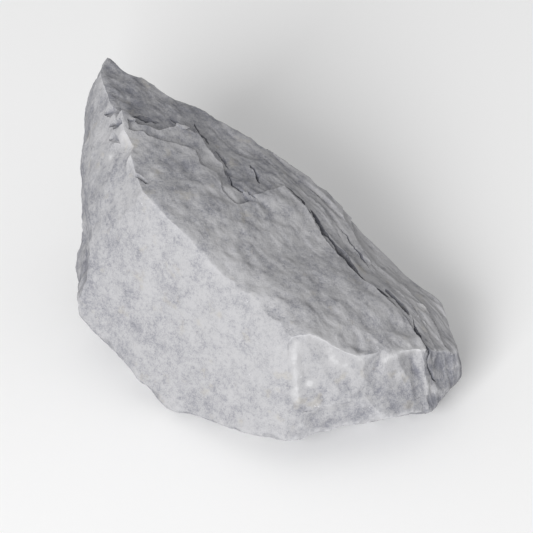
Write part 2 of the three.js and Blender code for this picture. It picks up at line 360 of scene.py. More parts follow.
def get_points(mesh):
    points = np.empty(len(mesh.vertices) * 3, np.float32)
    mesh.vertices.foreach_get("co", points)
    return points.reshape(-1, 3).astype(float)


def set_points(mesh, points):
    mesh.vertices.foreach_set("co", points.astype(np.float32).ravel())
    mesh.update()


def moved_by(matrix, points):
    matrix = np.array(matrix)
    return points @ matrix[:3, :3].T + matrix[:3, 3]


print("the front is seated at", *in_mm([seat(BREAKS["front"]).translation]), "mm")

# %% Make a slab of waste, and cut with it
PITCH = 0.21 * mm
SLAB_THICKNESS = 9 * mm


def named(solid, face):
    """Marks a solid with a material of that name, which stays on the surfaces that it cuts."""
    solid.data.materials.append(bpy.data.materials.get(face) or bpy.data.materials.new(face))
    return solid


def face_outwards():
    """Turns all faces of the solid in edit mode outwards, and leaves edit mode."""
    bpy.ops.mesh.select_all(action="SELECT")
    bpy.ops.mesh.normals_make_consistent(inside=False)
    bpy.ops.object.mode_set(mode="OBJECT")


def slab(face, plane, low, high, profile=None):
    """The waste outside a face, between two corners on its plane, low and high."""
    low, high = np.array(low), np.array(high)
    cells = np.maximum(1, np.round((high - low) / PITCH)).astype(int)
    deselect_all()
    bpy.ops.mesh.primitive_grid_add(x_subdivisions=cells[0], y_subdivisions=cells[1], size=1)
    waste = bpy.context.object
    bpy.ops.object.mode_set(mode="EDIT")
    bpy.ops.mesh.select_all(action="SELECT")
    bpy.ops.mesh.extrude_region_move(TRANSFORM_OT_translate={"value": (0, 0, 1)})
    face_outwards()
    points = get_points(waste.data)
    inner = points[:, 2] < 0.5
    points[:, :2] = low + (points[:, :2] + 0.5) * (high - low)
    points[:, 2] *= SLAB_THICKNESS
    if profile:
        points[inner, 2] = profile(points[inner, 0], points[inner, 1])
    points = moved_by(seat(plane), points)
    normal = normal_of(plane)
    bumps = relief(points[inner], normal, FINISHES.get(face, PLAIN)) - wear(points[inner], face)
    points[inner] = swell(points[inner]) + bumps[:, None] * np.array(normal)
    set_points(waste.data, points)
    return named(waste, face)


def apply_boolean(piece, tool, operation="DIFFERENCE"):
    deselect_all()
    modifier = piece.modifiers.new("cut", "BOOLEAN")
    modifier.operation, modifier.solver, modifier.object = operation, "MANIFOLD", tool
    modifier.material_mode = "TRANSFER"
    bpy.context.view_layer.objects.active = piece
    bpy.ops.object.modifier_apply(modifier=modifier.name)
    bpy.data.meshes.remove(tool.data)


print("a slab has a point every", round(PITCH / mm, 2), "mm")

# %% Roughen every face
FACE_MARGIN = 4 * mm
FLAT_WITHIN = 1e-6
named(lump, "block")
split_points = get_points(lump.data)
face_spans = {}
for name, plane in BREAKS.items():
    reach = (split_points - np.array(HEART)) @ np.array(normal_of(plane))
    own = reach > plane[2] * mm + SPARE - FLAT_WITHIN
    local = moved_by(seat(plane).inverted(), split_points[own])
    face_spans[name] = local.min(0)[:2] - FACE_MARGIN, local.max(0)[:2] + FACE_MARGIN
for name, plane in BREAKS.items():
    apply_boolean(lump, slab(name, plane, *face_spans[name]))
print("the roughened lump has", len(lump.data.polygons), "faces")

# %% [markdown]
# ## The terraces
# In some places a face steps down to a lower floor, where the break jumped from one layer to the
# next. A terrace is a slab like the others, but only inside an outline that is drawn on its floor.
# The outline starts as a circle of points, is laid along the step and extruded row by row, so that
# the small cliff of the step is as ragged as the faces.

# %% The outlines of the terraces
TERRACES = {
    # name: azimuth, elevation, distance, outline (x downhill, y level)
    "tip": (8, 68, 7.2, [
        (-26, 15.3), (-17, 14.7), (-15.8, 13.8), (-13.5, 13.7), (-11.3, 15), (-9, 14.4),
        (-8.1, 12.8), (-6.5, 11.1), (-6.2, 8.3), (-4, 7), (-0.1, 9.5), (1.2, 11.6), (6, 20),
        (-4, 34), (-26, 34)]),
    "strip": (4.5, 61.6, 6.6, [
        (-14, 17), (-8.5, 12.5), (-3.2, 10.2), (-1.5, 9.6), (0.8, 7.5), (1.9, 5.9), (4.5, 2),
        (8.3, -1.6), (11.7, -3.9), (13.6, -7.1), (14.4, -9.7), (24, -12), (24, 26), (-14, 26)]),
    "ledge": (-15, 67, 5.9, [
        (-21.2, 7.8), (-19.7, 8.7), (-17.8, 9.4), (-17.1, 10.8), (-15.3, 10.6), (-14.6, 12.1),
        (-13.5, 11.3), (-12.1, 10.5), (-10.5, 9.4), (-9.7, 8.7), (-8.9, 7.1), (-7.6, 6.1),
        (-6.6, 5.4), (-7.8, 3.8), (-9.5, 4.8), (-10.7, 6.7), (-12.7, 7.0), (-13.7, 8.4),
        (-15.9, 8.1), (-17.7, 7.3), (-19.3, 7.3), (-20.6, 6.5)]),
    "strip_layer": (4.5, 61.6, 6.38, [
        (5.8, 9.2), (8.1, 4.9), (9.2, 2.6), (10.8, 0.7), (12.6, -1.6), (14.1, -3.9),
        (15.3, -6.6), (24, -9), (24, 26), (5, 26)]),
    "strip_edge": (4.5, 61.6, 6.1, [
        (7.0, 7.6), (9.4, 3.9), (10.4, 3.0), (11.9, 1.7), (13.2, 0.4), (15.1, -2.1),
        (16.4, -4.9), (24, -8), (24, 26), (7, 26)]),
    "back_layer": (57, -13, 11.6, [
        (-1, -24), (0.5, -10), (-1.2, -6), (1.4, -3), (0.8, 0.5), (4, 2), (5, 5.5), (16, 7),
        (16, -24)]),
    "back_flake": (70, -9, 13.9, [
        (-20, 4), (-9, 5), (-7.6, 8), (-4, 9), (-3.5, 12.4), (0.5, 14), (1, 26), (-20, 26)]),
}


def plane_named(name):
    return BREAKS[name] if name in BREAKS else TERRACES[name][:3]


print(len(TERRACES), "terraces, on", {name: STEPS_DOWN_FROM[name] for name in TERRACES})

# %% A prism on any outline
FEWEST_STOPS = 6
RUFFLE_WAVES = 2


def stops_along(corners, pitch):
    """Evenly spaced points along a line."""
    travel = np.concatenate([[0], np.cumsum(np.linalg.norm(np.diff(corners, axis=0), axis=1))])
    stops = np.linspace(0, travel[-1], max(FEWEST_STOPS, round(travel[-1] / pitch)))
    return np.stack([np.interp(stops, travel, corners[:, axis]) for axis in (0, 1)], 1)


def prism(plane, rims, heights):
    """A solid whose rows are outlines with the same number of points, one at each height."""
    count = len(rims[0])
    deselect_all()
    bpy.ops.mesh.primitive_circle_add(vertices=count, radius=1, fill_type="NGON")
    solid = bpy.context.object
    angles = np.arctan2(*get_points(solid.data)[:, 1::-1].T)
    turn = np.round((angles - angles[0]) / (2 * math.pi) * count).astype(int) % count
    bpy.ops.object.mode_set(mode="EDIT")
    bpy.ops.mesh.select_all(action="SELECT")
    for row in heights[1:]:
        bpy.ops.mesh.extrude_region_move(TRANSFORM_OT_translate={"value": (0, 0, 1)})
    bpy.ops.object.mode_set(mode="OBJECT")
    # every point still stands above one of the circle, which tells its place along the outline
    points = get_points(solid.data)
    row = np.round(points[:, 2]).astype(int)
    gaps = points[:, None, :2] - points[None, :count, :2]
    below = turn[np.argmin(np.hypot(gaps[..., 0], gaps[..., 1]), axis=1)]
    points[:, :2] = np.array(rims)[row, below]
    points[:, 2] = np.array(heights)[row]
    set_points(solid.data, moved_by(seat(plane), points))
    bpy.ops.object.mode_set(mode="EDIT")
    face_outwards()
    return solid


def ruffle(solid, size, height):
    """Pushes the points of a solid about, for a ragged rim or a rough skin."""
    points = get_points(solid.data)
    for i, point in enumerate(points):
        push = noise.turbulence_vector(Vector(point) / size, RUFFLE_WAVES, False)
        points[i] += np.array(push) * height
    set_points(solid.data, points)


tip_outline = np.array(TERRACES["tip"][3])
print("the outline of the tip is about", len(stops_along(tip_outline, 1.0)), "mm long")

# %% Cut the terraces
RIM_PITCH, RIM_SIZE, RIM_RAGGED = 0.35 * mm, 1.3 * mm, 0.21 * mm
CLIFF_ROWS = np.arange(-5, 8) * RIM_PITCH
TERRACE_MARGIN = 1 * mm


def cliff(plane, outline):
    """A prism on the outline of a terrace, with ragged walls."""
    rim = stops_along(np.array(outline + outline[:1]) * mm, RIM_PITCH)[:-1]
    heights = [-SLAB_THICKNESS / 3, *CLIFF_ROWS, SLAB_THICKNESS]
    solid = prism(plane, [rim] * len(heights), heights)
    ruffle(solid, RIM_SIZE, RIM_RAGGED)
    return named(solid, "cliff")


for name, (*plane, outline) in TERRACES.items():
    local = moved_by(seat(plane).inverted(), split_points)
    low = np.maximum(np.min(outline, 0) * mm, local.min(0)[:2]) - TERRACE_MARGIN
    high = np.minimum(np.max(outline, 0) * mm, local.max(0)[:2]) + TERRACE_MARGIN
    terrace = slab(name, plane, low, high)
    apply_boolean(terrace, cliff(plane, outline), "INTERSECT")
    apply_boolean(lump, terrace)
print("with its terraces the lump has", len(lump.data.polygons), "faces")

# %% [markdown]
# ## The flake scars
# Where the crusher hit, a flake shelled off and left a shallow dish, with faint ribs round the place
# of the blow. A dish is the same kind of slab, with a curved inner side.

# %% Cut the flake scars
SCARS = [
    # face, x downhill, y level, width down the slope, length along it, depth
    ("left_end", 1.5, -8, 12, 21, 1.1),
    ("back", 5, 5, 11, 19, 0.9),
    ("back_right", -6, -8, 7, 13, 0.6),
    ("under_back", 1, 2, 9, 16, 0.8),
    ("under_nose", -1, 3, 6, 11, 0.6),
    ("shoulder", -5, -9, 11, 6, 0.5),
    ("nose", -5, 5, 5, 9, 0.5),
    ("top", 9.6, -7.2, 8.0, 7.0, 0.65),
    ("nose", 10.2, 5.0, 7.5, 11.0, 0.75),
    ("nose_right", 7.9, 5.0, 4.6, 6.5, 0.35),
    ("toe", 7.2, 6.2, 5.5, 4.2, 0.50),
]
RIB_LENGTH, RIB_HEIGHT = 1.5 * mm, 0.035 * mm
DISH_MARGIN = 1.2


def dish(x, y, width, length, depth):
    """The height of a dish above the plane of its face."""
    radius = ((width / 2) ** 2 + depth**2) / (2 * depth)

    def profile(across, along):
        across, along = across - x, (along - y) * width / length
        sunk = radius - depth - np.sqrt(np.maximum(0, radius**2 - across**2 - along**2))
        ribs = np.sin(2 * math.pi * np.hypot(across + width / 2, along) / RIB_LENGTH)
        return sunk + RIB_HEIGHT * ribs

    return profile


for face, *sizes in SCARS:
    x, y, width, length, depth = (size * mm for size in sizes)
    half = np.array([width, length]) / 2 * DISH_MARGIN
    middle = np.array([x, y])
    profile = dish(x, y, width, length, depth)
    apply_boolean(lump, slab(face, plane_named(face), middle - half, middle + half, profile))
print("with its", len(SCARS), "scars the lump has", len(lump.data.polygons), "faces")

# %% [markdown]
# ## The splinters
# Along the blunt end and on the shoulder, small splinters broke off the crest, each with a few flat
# sides. Their cutter's inner side is the upper envelope of a few tilted planes, which gives flat
# facets with crisp creases between them.

# %% Split off the splinters
SPLINTERS = [
    # face, x downhill, y level, depth, sides: compass direction from downhill, slope
    ("nose", -0.4, 1.7, 0.42, ((-20, 0.30), (-100, 0.9), (80, 0.45))),
    ("nose", 0.5, 4.3, 0.52, ((138, 0.85), (-42, 0.16), (45, 0.15))),
    ("nose", 1.5, 6.3, 0.45, ((145, 0.75), (-35, 0.13), (55, 0.15))),
    ("nose", 2.9, 1.9, 0.45, ((-86, 0.45), (85, 0.13), (180, 0.08), (0, 0.09))),
    ("nose_right", 5.6, 8.7, 0.80, ((10, 0.18), (-80, 0.45), (85, 0.9), (180, 0.40))),
    ("nose_right", 4.9, 4.6, 0.40, ((0, 0.28), (-90, 0.16), (60, 0.6))),
    ("toe", 6.0, 2.6, 0.40, ((-10, 0.30), (100, 0.6), (-120, 0.6))),
    ("shoulder", -6.0, -11.8, 0.85, ((0, 0.28), (100, 0.45), (-100, 0.45), (180, 0.10))),
]
SPLINTER_REACH = 4.2 * mm


def envelope(x, y, depth, sides):
    """The height of a many-sided scar above the plane of its face."""
    sides = [(math.radians(angle), slope) for angle, slope in sides]

    def profile(across, along):
        return np.max([
            slope * ((across - x) * math.cos(angle) + (along - y) * math.sin(angle))
            for angle, slope in sides
        ], 0) - depth

    return profile


for face, x, y, depth, sides in SPLINTERS:
    middle = np.array([x, y]) * mm
    profile = envelope(x * mm, y * mm, depth * mm, sides)
    waste = slab(face, plane_named(face), middle - SPLINTER_REACH, middle + SPLINTER_REACH, profile)
    apply_boolean(lump, waste)
print("without its", len(SPLINTERS), "splinters the lump has", len(lump.data.polygons), "faces")

# %% [markdown]
# ## Cracks and notches
# Thin cracks run along the layers, most of them at the foot of a step, and wider, dusty notches nick
# the ridge on the left. Either is a thin wedge that is pointed at both ends, so its tool is a prism on
# a narrow outline round a line, with rows that get narrower towards the bottom.

# %% Where they run
CRACKS = [
    # face, width, depth, line (x downhill, y level)
    ("strip", 0.45, 0.8, [(-1.1, 10.7), (0.5, 9.2), (1.7, 7.7)]),
    ("strip", 0.90, 0.9, [(1.5, 8.3), (3.1, 5.7), (4.9, 3.1), (6.3, 1.0), (7.6, -0.7)]),
    ("strip", 0.45, 0.8, [(7.3, -0.4), (8.8, -0.9), (9.8, -1.3)]),
    ("strip", 0.85, 1.4, [(9.2, -0.1), (10.4, -1.4), (11.7, -2.8)]),
    ("strip", 0.55, 1.0, [(12.0, -2.8), (12.7, -4.5), (13.8, -6.1)]),
    ("strip", 0.40, 0.8, [(13.6, -5.7), (14.4, -7.8), (14.6, -10.6)]),
    ("strip", 0.28, 0.6, [(5.2, 7.4), (7.3, 4.6), (8.4, 2.6)]),
    ("toe", 0.50, 0.8, [(5.2, 4.9), (7.1, 4.9), (9.0, 5.1)]),
    ("tip", 0.80, 0.45, [(-16.2, 15.0), (-14.6, 15.3), (-12.6, 15.3)]),
    ("tip", 0.85, 0.45, [(-11.4, 16.6), (-10.4, 16.3), (-9.8, 15.6)]),
    ("tip", 0.80, 0.55, [(-8.6, 17.0), (-8.0, 15.9), (-7.3, 14.2)]),
    ("tip", 0.65, 0.5, [(-6.8, 13.6), (-6.0, 12.4), (-5.7, 11.0)]),
    ("tip", 0.45, 0.6, [(-5.9, 9.8), (-5.8, 8.4), (-5.2, 7.6), (-3.3, 6.9)]),
    ("tip", 0.60, 0.7, [(-3.3, 12.6), (-2.9, 11.1), (-2.7, 9.7)]),
    ("top", 0.80, 0.5, [(-11.9, 8.0), (-11.1, 8.1), (-10.4, 8.1)]),
    ("back", 0.30, 0.6, [(-9, -9), (-3, -7.5), (2, -8)]),
    ("back", 0.35, 0.7, [(-6, 1.5), (-1, 3), (4, 2.6)]),
    ("left_end", 0.30, 0.5, [(-6, 2), (-2, 1), (1, 1.8)]),
]
NOTCHES = [
    ("top", 0.95, 0.42, [(-21.1, 3.5), (-20.5, 3.1), (-20.1, 2.3)]),
    ("top", 1.15, 0.42, [(-18.6, 1.8), (-17.4, 1.4), (-16.4, 1.0)]),
    ("shoulder", 1.25, 0.36, [(-4.3, -18.7), (-5.7, -17.5), (-6.8, -16.2)]),
    ("shoulder", 1.15, 0.50, [(-4.1, -16.7), (-5.3, -15.7), (-6.3, -14.5)]),
    ("shoulder", 1.05, 0.34, [(-3.6, -15.3), (-4.5, -14.3), (-5.0, -13.2)]),
    ("shoulder", 0.95, 0.34, [(-2.9, -10.4), (-4.2, -9.2), (-4.3, -7.8)]),
]
print(len(CRACKS), "cracks and", len(NOTCHES), "notches, up to",
      max(row[2] for row in CRACKS + NOTCHES), "mm deep")

# %% Open the cracks and the notches
CRACK_PITCH, CRACK_RAGGED, CRACK_WANDER_SIZE = 0.25 * mm, 0.21 * mm, 1.3 * mm
CRACK_WAVES = 0.5, 2.0, 3
GAPE_START = 5 * mm
GAPE_BASE, GAPE_SWING, GAPE_LEAST, GAPE_MOST = 0.8, 0.7, 0.25, 1.2
POINTED_END = 0.003
# the rows from the bottom up: their height, in depths below the face and in mm above it, and their
# share of the width
CRACK_ROWS = (-1.0, -0.5, 0.0, 1.0)
CRACK_WIDTHS = (0.15, 0.55, 1.0, 1.2)


def crack(plane, width, depth, line, finish):
    """A wandering wedge along a line on a face."""
    width, depth = width * mm, depth * mm
    middle = stops_along(np.array(line) * mm, CRACK_PITCH)
    way = np.gradient(middle, axis=0)
    side = np.stack([-way[:, 1], way[:, 0]], 1) / np.linalg.norm(way, axis=1)[:, None]
    wander, gape = np.array([
        [noise.fractal(Vector((*spot, start)) / CRACK_WANDER_SIZE, *CRACK_WAVES)
         for start in (width, GAPE_START)]
        for spot in middle
    ]).T
    middle = middle + side * CRACK_RAGGED * wander[:, None]
    run = np.sqrt(np.sin(np.linspace(0, math.pi, len(middle))).clip(POINTED_END))
    half = width / 2 * run * (GAPE_BASE + GAPE_SWING * gape).clip(GAPE_LEAST, GAPE_MOST)
    rims = []
    for share in CRACK_WIDTHS:
        reach = side * (half * share)[:, None]
        rims.append(np.concatenate([middle + reach, (middle - reach)[::-1]]))
    heights = [row * (depth if row < 0 else mm) for row in CRACK_ROWS]
    wedge = prism(plane, rims, heights)
    set_points(wedge.data, swell(get_points(wedge.data)))
    return named(wedge, finish)


for finish, lines in (("crack", CRACKS), ("notch", NOTCHES)):
    for face, width, depth, line in lines:
        apply_boolean(lump, crack(plane_named(face), width, depth, line, finish))
print("the cracked lump has", len(lump.data.polygons), "faces")

# %% [markdown]
# ## The chipped edges
# Sharp edges lose small chips as the stones knock together. Each chip is bitten out by a ball with a
# rough skin, sunk a little into the edge. The random numbers come from a short rule that gives the
# same ones in every run, in the same order as in the part's source.

# %% Numbers that look random
LEHMER_FACTOR, LEHMER_PRIME = 48271, 2147483647
seed = 20


def random():
    global seed
    seed = seed * LEHMER_FACTOR % LEHMER_PRIME
    return seed / LEHMER_PRIME


def between(low, high):
    return low + (high - low) * random()


print("the chips start from seed", seed)

# %% Chip the edges
CHIP_RADIUS = 2.2, 5.5
CHIP_BITE = 0.12, 0.5
CHIP_ROUGH_SIZE, CHIP_ROUGH = 1.2 * mm, 0.16 * mm
BALL_SUBDIVISIONS = 4
CHIPPED_EDGES = [
    # the two faces that meet, the face at each end, chips
    ("top", "front", "shoulder", "nose", 8),
    ("top", "shoulder", "front", "tip", 4),
    ("top", "nose", "front", "nose_right", 4),
    ("front", "nose", "top", "under_nose", 3),
    ("tip", "back", "tip_left", "back_right", 8),
    ("strip", "back_right", "back", "right_end", 7),
    ("front", "under_left", "left_low", "under_front", 5),
    ("front", "under_front", "under_left", "nose", 5),
    ("nose", "under_nose", "front", "nose_right", 4),
    ("nose_right", "toe", "strip", "under_nose", 2),
    ("back_right", "back", "strip", "under_back", 4),
    ("back", "under_back", "left_end", "back_right", 4),
    ("left_end", "back", "tip_left", "under_back", 3),
]


def corner(*names):
    """The point where three faces meet."""
    planes = [plane_named(name) for name in names]
    distances = Vector([plane[2] * mm for plane in planes])
    return HEART + Matrix([normal_of(plane) for plane in planes]).inverted() @ distances


def rough_ball(centre, radius):
    deselect_all()
    bpy.ops.mesh.primitive_ico_sphere_add(
        subdivisions=BALL_SUBDIVISIONS, radius=radius, location=centre)
    ball = bpy.context.object
    bpy.ops.object.transform_apply(location=True, rotation=True, scale=True)
    ruffle(ball, CHIP_ROUGH_SIZE, CHIP_ROUGH)
    return named(ball, "chip")


for *meeting, start_face, end_face, chips in CHIPPED_EDGES:
    start, end = corner(*meeting, start_face), corner(*meeting, end_face)
    outward = sum((normal_of(plane_named(name)) for name in meeting), Vector()).normalized()
    for i in range(chips):
        radius, bite = between(*CHIP_RADIUS) * mm, between(*CHIP_BITE) * mm
        centre = start.lerp(end, (i + random()) / chips)
        # the part's source takes two more numbers here, for the shape of its faceted balls
        random(), random()
        centre = Vector(swell(np.array([centre]))[0]) + outward * (radius - bite)
        apply_boolean(lump, rough_ball(centre, radius))
print("the chipped lump has", len(lump.data.polygons), "faces")

# %% [markdown]
# ## A clean mesh
# Where many cuts cross, a few slivers thinner than a hair are left with a loose edge. They are picked
# out with the faces round them and patched, and crumbs that came off the lump are thrown away.

# %% Finish the mesh
MERGED_WITHIN = 1e-6
PATCHING_ROUNDS = 2
SHARP = math.radians(50)


def only(piece):
    """Selects one piece alone and makes it active."""
    deselect_all()
    piece.select_set(True)
    bpy.context.view_layer.objects.active = piece


only(lump)
bpy.ops.object.mode_set(mode="EDIT")
bpy.ops.mesh.select_mode(type="VERT")
bpy.ops.mesh.select_all(action="SELECT")
bpy.ops.mesh.remove_doubles(threshold=MERGED_WITHIN)
bpy.ops.mesh.quads_convert_to_tris()
for patching in range(PATCHING_ROUNDS):
    bpy.ops.mesh.select_all(action="DESELECT")
    bpy.ops.mesh.select_non_manifold()
    bpy.ops.mesh.select_more()
    bpy.ops.mesh.delete(type="FACE")
    bpy.ops.mesh.select_all(action="SELECT")
    bpy.ops.mesh.delete_loose(use_verts=True, use_edges=True, use_faces=False)
    bpy.ops.mesh.select_all(action="SELECT")
    bpy.ops.mesh.fill_holes(sides=0)
    bpy.ops.mesh.quads_convert_to_tris()
bpy.ops.mesh.separate(type="LOOSE")
bpy.ops.object.mode_set(mode="OBJECT")
crumbs = sorted(bpy.context.selected_objects, key=lambda piece: len(piece.data.polygons))
lump = crumbs.pop()
for crumb in crumbs:
    bpy.data.objects.remove(crumb)
only(lump)
bpy.ops.object.shade_smooth_by_angle(angle=SHARP)
lump.name = "shungite_lump"
print("the finished lump has", len(lump.data.polygons), "triangles;", len(crumbs), "crumbs thrown away")

# %% [markdown]
# ## Where it is rubbed, bruised, dusty and streaked, and where highlights and shade are painted
# Five numbers on the mesh steer the finish. Edges that stand out are rubbed pale and get a painted
# highlight, and hollows get painted shade: smoothing a copy of the points, and seeing how far each one
# has moved, tells them apart. Where the stone was hit, mostly on the crest of the blunt end, it is
# bruised almost white, and the pale crest lines are also a painted highlight. These places are drawn
# as lines on the faces: a very short one is a single bright grain with a painted glint, and a wide,
# weak one is only a little more dust. The dust, the streaks and the rubbing with its painted highlight
# belong to the face that each triangle was cut with.

# %% What stands out
SMOOTHING_REACH = 1.15 * mm


def standing_out(mesh, steps):
    """How far each point stands out above its smoothed neighbourhood."""
    ends = np.empty(len(mesh.edges) * 2, int)
    mesh.edges.foreach_get("vertices", ends)
    one, other = ends.reshape(-1, 2).T
    start = points = get_points(mesh)
    neighbours = np.bincount(ends, minlength=len(points))[:, None]
    for step in range(steps):
        total = np.stack([
            np.bincount(one, points[other, axis], len(points))
            + np.bincount(other, points[one, axis], len(points))
            for axis in range(3)
        ], 1)
        points = (points + total / neighbours) / 2
    normals = np.empty(len(points) * 3)
    mesh.vertices.foreach_get("normal", normals)
    return np.sum((start - points) * normals.reshape(-1, 3), 1) / mm


edge_heights = standing_out(lump.data, round((SMOOTHING_REACH / PITCH) ** 2))
print("points stand out by", round(edge_heights.min(), 2), "to", round(edge_heights.max(), 2), "mm")

# %% Where it was hit, and where highlights and glints are painted
# bright lines and spots: partly bruises, partly painted highlights on crests and painted glints on grains
BRUISES_AND_HIGHLIGHTS = [
    # face, half width, strength, line (x downhill, y level)
    ("nose", 0.45, 0.75, [(-0.9, 0.9), (0.8, 0.6), (2.4, 0.7), (5.4, 0.7)]),
    ("nose", 0.40, 0.80, [(-1.6, 2.4), (-0.2, 4.1), (1.0, 4.5), (1.8, 4.8), (2.4, 5.9)]),
    ("nose", 0.35, 0.75, [(-0.2, 4.7), (1.0, 6.2), (2.2, 7.7)]),
    ("nose_right", 0.40, 0.80, [(4.4, 5.1), (4.0, 8.2), (3.6, 8.7), (4.9, 10.5)]),
    ("toe", 0.40, 0.60, [(7.7, 3.9), (9.8, 4.3), (10.9, 6.3)]),
    ("shoulder", 1.10, 0.60, [(-6.6, -13.6), (-6.0, -11.2)]),
    ("nose", 0.36, 1.60, [(3.8, 2.2), (3.8, 2.3)]),
    ("top", 0.36, 1.00, [(-16.6, 2.3), (-16.6, 2.4)]),
    ("shoulder", 0.32, 1.10, [(-3.1, -13.6), (-3.1, -13.5)]),
    ("top", 1.70, 0.34, [(-7.4, -2.2), (-5.4, -3.9), (-2.2, -5.5)]),
]
BRUISE_AND_HIGHLIGHT_PITCH = 0.3 * mm
BRUISE_AND_HIGHLIGHT_SHOWS_FROM = 0.3


def bruise_and_highlight_map(points):
    """How hard the lump was hit near each point, with the painted highlights and glints."""
    hit = np.zeros(len(points))
    for face, half_width, strength, line in BRUISES_AND_HIGHLIGHTS:
        for x, y in stops_along(np.array(line) * mm, BRUISE_AND_HIGHLIGHT_PITCH):
            blow = np.array(seat(plane_named(face)) @ Vector((x, y, 0)))
            nearest = points[np.argmin(np.linalg.norm(points - blow, axis=1))]
            away = np.linalg.norm(points - nearest, axis=1) / (half_width * mm)
            hit = np.maximum(hit, strength * np.exp(-(away**2)))
    return hit


bruise_and_highlight_values = bruise_and_highlight_map(get_points(lump.data))
print(round(100 * np.mean(bruise_and_highlight_values > BRUISE_AND_HIGHLIGHT_SHOWS_FROM), 1), "% of the points are bruised")

# %% Write the numbers on the mesh
cutters = np.empty(len(lump.data.polygons), np.int32)
lump.data.polygons.foreach_get("material_index", cutters)
cutter_names = [material.name for material in lump.data.materials]
cut_with = [FINISHES.get(name, PLAIN) for name in cutter_names]
for name, values, domain in (
    ("standing_out", edge_heights, "POINT"),
    ("bruise_and_highlight", bruise_and_highlight_values, "POINT"),
    ("dust", np.array([finish.dust for finish in cut_with])[cutters], "FACE"),
    ("streaks", np.array([finish.streaks for finish in cut_with])[cutters], "FACE"),
    ("rubbing", np.array([finish.rubbing for finish in cut_with])[cutters], "FACE"),
):
    attribute = lump.data.attributes.new(name, "FLOAT", domain)
    attribute.data.foreach_set("value", values.astype(np.float32))
    print(name, "from", round(values.min(), 3), "to", round(values.max(), 3))
lump.data.materials.clear()
for name in cutter_names:
    bpy.data.materials.remove(bpy.data.materials[name])

# %% [markdown]
# ## Shader maths in plain Python
# The finish is a recipe of numbers that change over the surface. So that it reads like one, a small
# class wraps a socket: adding or multiplying two of them adds the Math node that does so.

# %% A socket that can be calculated with
class Wire:
    tree = None

    def __init__(self, socket):
        self.socket = socket

    @classmethod
    def node(cls, kind, settings, inputs, output=0):
        """Adds a node, sets its settings and feeds its inputs; returns one of its outputs."""
        made = cls.tree.nodes.new(kind)
        for name, value in settings.items():
            setattr(made, name, value)
        for name, value in inputs.items():
            if isinstance(value, Wire):
                cls.tree.links.new(value.socket, made.inputs[name])
            else:
                made.inputs[name].default_value = value
        return cls(made.outputs[output])

    def _math(self, operation, one, other):
        return Wire.node("ShaderNodeMath", {"operation": operation}, {0: one, 1: other})

    def __add__(self, other):
        return self._math("ADD", self, other)

    def __sub__(self, other):
        return self._math("SUBTRACT", self, other)

    def __rsub__(self, other):
        return self._math("SUBTRACT", other, self)

    def __mul__(self, other):
        return self._math("MULTIPLY", self, other)

    __radd__, __rmul__ = __add__, __mul__


def fade(value, low, high):
    """0 below low, 1 above high, and smooth between."""
    return Wire.node("ShaderNodeMapRange", {"interpolation_type": "SMOOTHSTEP"},
                     {"Value": value, "From Min": low, "From Max": high})


def cloud(where, scale, detail=2.0, roughness=0.5):
    """Soft noise from 0 to 1 with this many blotches per millimetre."""
    return Wire.node("ShaderNodeTexNoise", {},
                     {"Vector": where, "Scale": scale, "Detail": detail, "Roughness": roughness})


def blend(factor, one, other):
    return Wire.node("ShaderNodeMix", {"data_type": "RGBA"}, {0: factor, 6: one, 7: other}, output=2)


def written(name):
    """One of the numbers on the mesh."""
    return Wire.node("ShaderNodeAttribute", {"attribute_name": name}, {}, output="Fac")


stone = bpy.data.materials.new("dusty_shungite")
stone.use_nodes = True
Wire.tree = stone.node_tree
principled = stone.node_tree.nodes["Principled BSDF"]
print("a new material has", len(stone.node_tree.nodes), "nodes")

# %% [markdown]
# ## The finish
# Fresh shungite is a bluish dark grey. The lump's own dust lies on it unevenly: pale on flat faces and
# rubbed edges, and thin along the layers. The rubbed edges and the bruised crests also carry a painted
# highlight, and painted shade darkens the hollows, the low east end and the west end of the front.
# There are faint rusty stains, a sandy grain over everything and, here and there, a shiny grain whose
# pale colour is a painted glint. The pattern is laid out in millimetres on Object coordinates, so it
# stays with the lump from any side.

# %% The patterns in the rock
TO_MM = (1000.0, 1000.0, 1000.0)
LAYER_THINNESS = 5.0

where = Wire.node("ShaderNodeTexCoord", {}, {}, output="Object")
where = Wire.node("ShaderNodeMapping", {"vector_type": "POINT"}, {"Vector": where, "Scale": TO_MM})
level = Wire.node("ShaderNodeVectorMath", {"operation": "DOT_PRODUCT"},
                  {0: where, 1: BEDDING}, output="Value")
shift = Wire.node("ShaderNodeVectorMath", {"operation": "SCALE"},
                  {0: BEDDING, "Scale": level * LAYER_THINNESS})
layered = Wire.node("ShaderNodeVectorMath", {"operation": "ADD"}, {0: where, 1: shift})
east = Wire.node("ShaderNodeSeparateXYZ", {}, {"Vector": where}, output="X")
up = Wire.node("ShaderNodeSeparateXYZ", {}, {"Vector": where}, output="Z")

# where, blotches per millimetre, detail and roughness
drift = cloud(where, 0.16, 3.0)
blotches = cloud(where, 0.33, 2.0, 0.5)
patches = cloud(where, 0.80, 3.0, 0.6)
lines = cloud(layered, 0.33, 3.0, 0.6)
speckle = cloud(where, 2.4, 2.0, 0.75)
grit = cloud(where, 8.0, 1.0)
rust = cloud(where, 0.45, 3.0, 0.6)
grains = Wire.node("ShaderNodeTexVoronoi", {}, {"Vector": where, "Scale": 3.0}, output="Color")
print("the patterns take", len(stone.node_tree.nodes), "nodes")

# %% How the dust lies, and where shade is painted
# the coat on a face, and what each pattern adds to it or takes away; what the hollows, the low east end
# and the west end of the front lose is painted shade
COAT, COAT_BASE = 0.75, 0.03
DRIFTS, BLOTCHED, PATCHY, SPECKLED, GRITTY = 0.40, 0.55, 0.95, 1.0, 0.8
